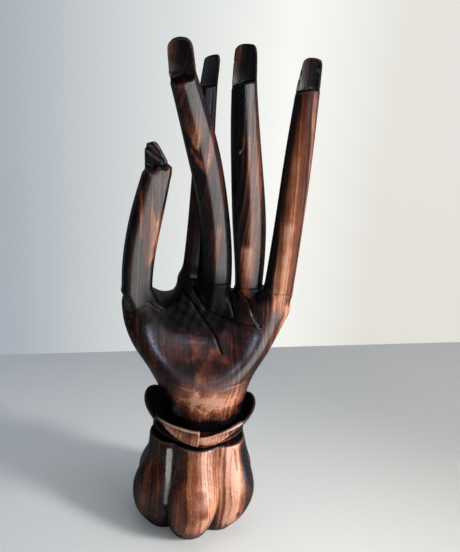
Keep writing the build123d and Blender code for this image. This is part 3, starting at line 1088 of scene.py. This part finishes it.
def pale_paint(name, bounce, tints, self_lit, glow, shine):
    """Matt paint that changes from the first tint at the left to the last at the right.

    The share self_lit glows for the camera as painted light and looks the same in light and shadow. The
    wood's polish shows the share shine.
    """
    paint = Shader(name)
    patch = paint.grain(PAINT_PATCHES)
    across = paint.add("SeparateXYZ", {0: paint.place}).outputs["X"]
    rightward = paint.spread(across, PAINT_LEFT, PAINT_RIGHT)
    tint = paint.ramp(paint.sum(rightward, paint.sum(patch, -0.5), 0.05), tints)
    rays = paint.add("LightPath").outputs
    matt = paint.mix(rays["Is Glossy Ray"], (*bounce, 1.0), (*(shine * part for part in bounce), 1.0))
    in_light = paint.mix(self_lit, tint, (0.0, 0.0, 0.0, 1.0))
    paint.give("Base Color", paint.mix(rays["Is Camera Ray"], matt, in_light))
    paint.give("Roughness", 0.7)
    # painted light: the share self_lit glows for the camera, and glow lights the other rays
    paint.give("Emission Color", paint.mix(rays["Is Camera Ray"], matt, tint))
    paint.give("Emission Strength", paint.blend(rays["Is Camera Ray"], glow, self_lit))
    clear = paint.add("BsdfTransparent").outputs[0]
    from_behind = paint.add("NewGeometry").outputs["Backfacing"]
    sides = paint.add("MixShader", {0: from_behind, 1: paint.surface.outputs[0], 2: clear})
    paint.feed(paint.tree.nodes["Material Output"].inputs["Surface"], sides.outputs[0])
    return paint.material


wood = DarkHardwood().material
rod_wood = dowel_wood()
for name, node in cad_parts.items():
    if name.endswith("_dowel"):
        node.data.materials.clear()
        node.data.materials.append(rod_wood)

# Blocks: name, node, shape, lowest and highest corner, and fineness
STEP = 0.6
BLOCKS = (
    ("base_wood", "lotus_base", base_field, (-40, -40, -2), (40, 40, 55), 1.2),
    ("collar_wood", "lotus_collar", collar_field, (-34, -34, 51), (36, 34, 74), 0.75),
    ("palm_wood", "palm", palm_field, (-46, -30, 58), (48, 26, 139), 0.75),
)
DIGIT_ROOM = 13
for name, node, field, low, high, fineness in BLOCKS:
    make_piece(name, node, field, low, high, STEP * fineness, wood)
for digit in digits:
    corners = digit.points[1:]
    low = corners.min(0) - DIGIT_ROOM
    high = corners.max(0) + DIGIT_ROOM
    make_piece(digit.name + "_wood", digit.name, digit.field, low, high, STEP, wood)

# Camera
CAMERA_PLACE = (0, -0.284, 0.227)
YAW = math.radians(2.234)
PITCH = math.radians(17.301)
ROLL = math.radians(5.0)
FOCAL_PIXELS = 600.0
PICTURE_PIXELS = 552.0
SENSOR = 36.0
NEAREST_SEEN = 0.01
ahead = Vector((math.sin(YAW) * math.cos(PITCH), math.cos(YAW) * math.cos(PITCH), -math.sin(PITCH)))
level = Vector((math.cos(YAW), -math.sin(YAW), 0.0))
upward = level.cross(ahead)
right = level * math.cos(ROLL) + upward * math.sin(ROLL)
above = upward * math.cos(ROLL) - level * math.sin(ROLL)
lens = bpy.data.cameras.new("camera")
lens.sensor_width = SENSOR
lens.lens = FOCAL_PIXELS * SENSOR / PICTURE_PIXELS
lens.clip_start = NEAREST_SEEN
camera = put("camera", lens)
turn = Matrix((right, above, -ahead)).transposed().to_4x4()
camera.matrix_world = Matrix.Translation(CAMERA_PLACE) @ turn
bpy.context.scene.camera = camera

# Shelf and wall
FLOOR_HALF = 3
WALL_LEFT = (-3, -0.497)
WALL_RIGHT = (3, 0.928)
WALL_FOOT = -0.01
WALL_TOP = 3


def flat_sheet(name, corners, material):
    """One four-cornered sheet of the stage."""
    mesh = bpy.data.meshes.new(name)
    mesh.from_pydata(corners, [], [(0, 1, 2, 3)])
    mesh.materials.append(material)
    return put(name, mesh)


paint = pale_paint("wall_paint", WALL_BOUNCE, WALL_PAINTED_LIGHT, self_lit=1.0, glow=0.20, shine=0.12)
# the shelf glows a little for the camera: painted light that lifts its shadow
shelf = pale_paint("shelf_paint", SHELF_BOUNCE, SHELF_TINTS, self_lit=0.12, glow=0.0, shine=0.16)
floor_corners = [(x * FLOOR_HALF, y * FLOOR_HALF, 0) for x, y in ((-1, -1), (1, -1), (1, 1), (-1, 1))]
floor = flat_sheet("floor", floor_corners, shelf)
wall_corners = [
    (*WALL_LEFT, WALL_FOOT),
    (*WALL_RIGHT, WALL_FOOT),
    (*WALL_RIGHT, WALL_TOP),
    (*WALL_LEFT, WALL_TOP),
]
wall = flat_sheet("backdrop", wall_corners, paint)
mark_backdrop(floor, wall)


def facing(place, target):
    """The turn that points a lamp at its target."""
    return (Vector(target) - Vector(place)).to_track_quat("-Z", "Y").to_euler()


def soft_light(name, place, target, size, power, colour):
    """A wide lamp that faces its target."""
    lamp = bpy.data.lights.new(name, "AREA")
    lamp.shape = "RECTANGLE"
    lamp.size, lamp.size_y = size
    lamp.energy = power
    lamp.color = colour
    light = put(name, lamp)
    light.location = place
    light.rotation_euler = facing(place, target)
    return light


# Soft lights: name, place, target, size, power and colour
SOFT_LIGHTS = (
    ("window", (0.44, -0.35, 0.22), (0, 0, 0.18), (0.46, 0.50), 2.9, (1, 0.99, 0.98)),
    ("far_window", (0.75, -0.02, 0.30), (0, 0, 0.12), (0.3, 0.6), 2.5, (0.72, 0.82, 1)),
    ("ceiling", (0.1, 0, 1.2), (0, 0.2, 0), (1, 0.5), 5, (1, 1, 1)),
    ("sky", (0.06, -0.71, 0.48), (0, 0, 0.12), (0.14, 0.14), 0.75, (0.5, 0.7, 1)),
    ("sunlit_shelf", (0.25, -0.27, 0.004), (0.25, -0.27, 1), (0.40, 0.40), 1.3, (1, 0.98, 0.95)),
)
lights = {row[0]: soft_light(*row) for row in SOFT_LIGHTS}
lights["ceiling"].visible_glossy = False
lights["sunlit_shelf"].visible_camera = False

# Low sun from the right, on foot and shelf
SUN_PLACE = (0.66, -0.30, 0.42)
SUN_TARGET = (0.06, -0.05, 0.015)
low_lamp = bpy.data.lights.new("low_sun", "SPOT")
low_lamp.energy = 54.0
low_lamp.color = (1.0, 0.95, 0.88)
low_lamp.spot_size = math.radians(22.0)
low_lamp.spot_blend = 1.0
low_lamp.shadow_soft_size = 0.10
low_sun = put("low_sun", low_lamp)
low_sun.location = SUN_PLACE
low_sun.rotation_euler = facing(SUN_PLACE, SUN_TARGET)

# Light of the room: dim on the wood, brighter where it is seen past the wall
ROOM_TINT = (0.9, 0.94, 1.0, 1.0)
ROOM_LIGHT = 0.02
ROOM_SEEN = 0.55
world = bpy.data.worlds.new("room")
world.use_nodes = True
room = world.node_tree
bpy.context.scene.world = world
backlight = room.nodes["Background"]
backlight.inputs["Color"].default_value = ROOM_TINT
seen = room.nodes.new("ShaderNodeLightPath").outputs["Is Camera Ray"]
strength = room.nodes.new("ShaderNodeMapRange")
strength.inputs["To Min"].default_value = ROOM_LIGHT
strength.inputs["To Max"].default_value = ROOM_SEEN
room.links.new(seen, strength.inputs["Value"])
room.links.new(strength.outputs["Result"], backlight.inputs["Strength"])
bpy.context.scene.view_settings.view_transform = "Standard"

low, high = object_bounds()
boxes = {"cad": [list(cad_low), list(cad_high)], "visual": [list(low), list(high)]}
